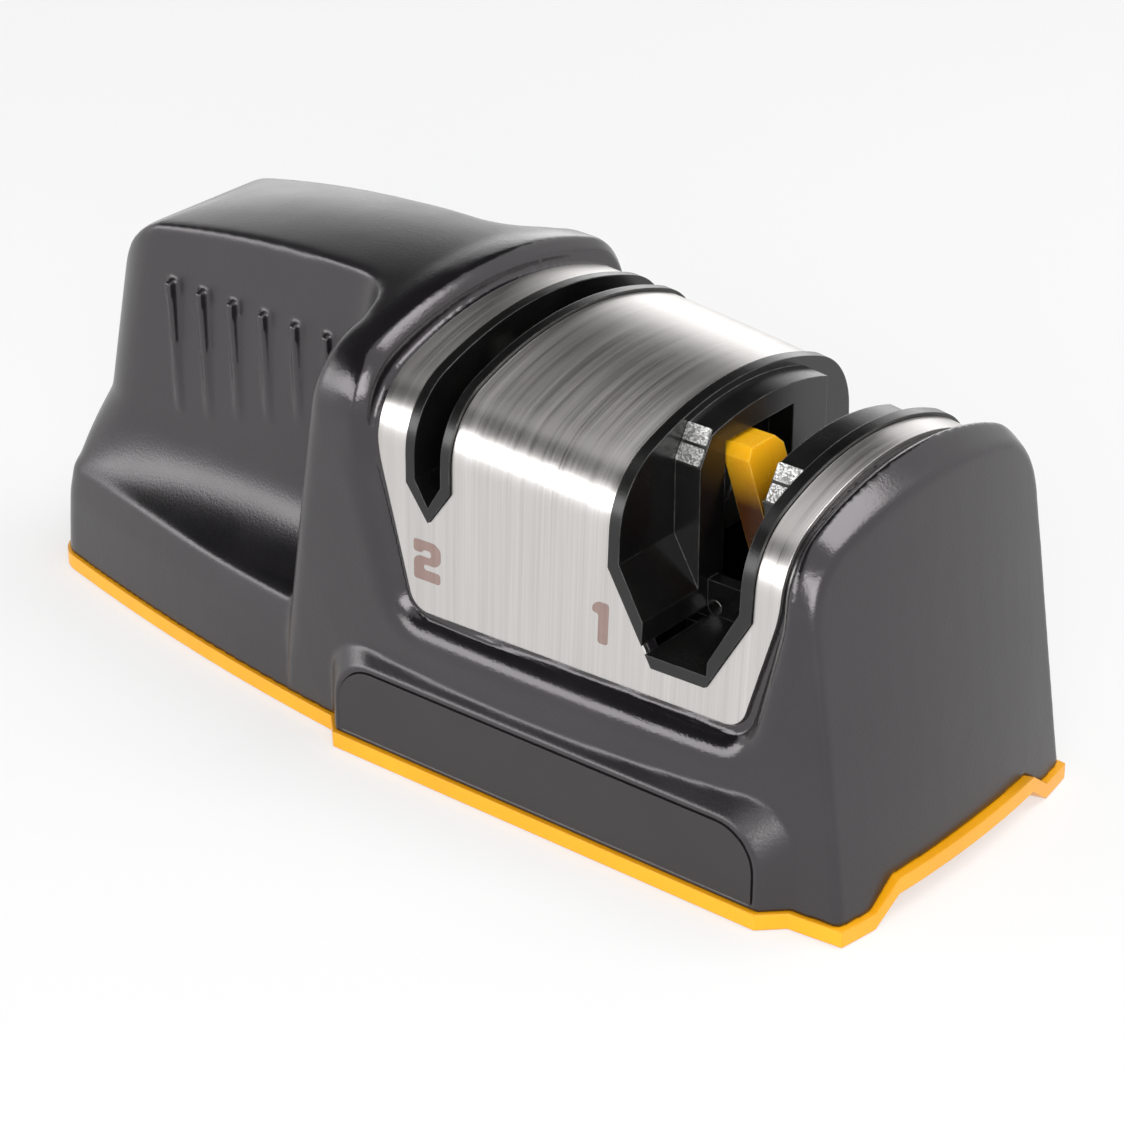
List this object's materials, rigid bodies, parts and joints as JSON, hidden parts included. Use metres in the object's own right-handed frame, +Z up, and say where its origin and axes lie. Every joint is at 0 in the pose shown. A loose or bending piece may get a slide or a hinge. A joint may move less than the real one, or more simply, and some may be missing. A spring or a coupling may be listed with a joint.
{
  "type": "pull-through knife sharpener",
  "caption": "Hand-held pull-through knife sharpener with a coarse slot of sprung diamond arms and a fine slot of crossed ceramic rods under a steel cover.",
  "frame": {"origin": "centre of the bounding box, on the surface that the feet stand on", "axes": "+X to the blunt end with the coarse slot, -Y to the side the blades are pulled towards, +Z up"},
  "size_m": [0.1858, 0.072, 0.077],
  "materials": {
    "black_plastic": "fine moulded texture, satin",
    "yellow_plastic": "smooth moulded",
    "satin_black": "smooth satin",
    "brushed_steel": "brushed along the wrap",
    "guide_plastic": "satin moulded",
    "amber_plastic": "smooth, slightly translucent",
    "diamond_grit": "bonded diamond grit",
    "pin_steel": "polished",
    "spring_steel": "drawn strip",
    "ceramic": "fired white ceramic",
    "screw_steel": "zinc plated",
    "rubber": "matt"
  },
  "bodies": {
    "body": {"housing_shell": "black_plastic", "base_plate": "yellow_plastic", "front_nameplate": "satin_black", "rear_nameplate": "satin_black", "steel_cover": "brushed_steel", "coarse_guide": "guide_plastic", "fine_guide": "guide_plastic", "left_arm_pin": "pin_steel", "right_arm_pin": "pin_steel", "left_arm_spring": "spring_steel", "right_arm_spring": "spring_steel", "left_grit_pads": "diamond_grit", "right_grit_pads": "diamond_grit", "rod_cradle": "guide_plastic", "front_ceramic_rod": "ceramic", "rear_ceramic_rod": "ceramic", "inner_frame": "guide_plastic", "base_screws": "screw_steel", "frame_screws": "screw_steel", "guide_screws": "screw_steel", "cradle_screws": "screw_steel", "rubber_feet": "rubber"},
    "left_sharpening_arm": {"left_arm": "amber_plastic", "left_diamond_plate": "diamond_grit"},
    "right_sharpening_arm": {"right_arm": "amber_plastic", "right_diamond_plate": "diamond_grit"}
  },
  "joints": [
    {"name": "left_arm_hinge", "type": "hinge", "parent": "body", "child": "left_sharpening_arm", "pos_m": [0.0615, 0, 0.038], "axis": [0, -1, 0], "range_deg": [0, 5], "stiffness_Nm_per_rad": 0.3, "springref_deg": -5.73, "deforming": ["left_arm_spring"]},
    {"name": "right_arm_hinge", "type": "hinge", "parent": "body", "child": "right_sharpening_arm", "pos_m": [0.0525, 0, 0.038], "axis": [0, 1, 0], "range_deg": [0, 5], "stiffness_Nm_per_rad": 0.3, "springref_deg": -5.73, "deforming": ["right_arm_spring"]}
  ]
}
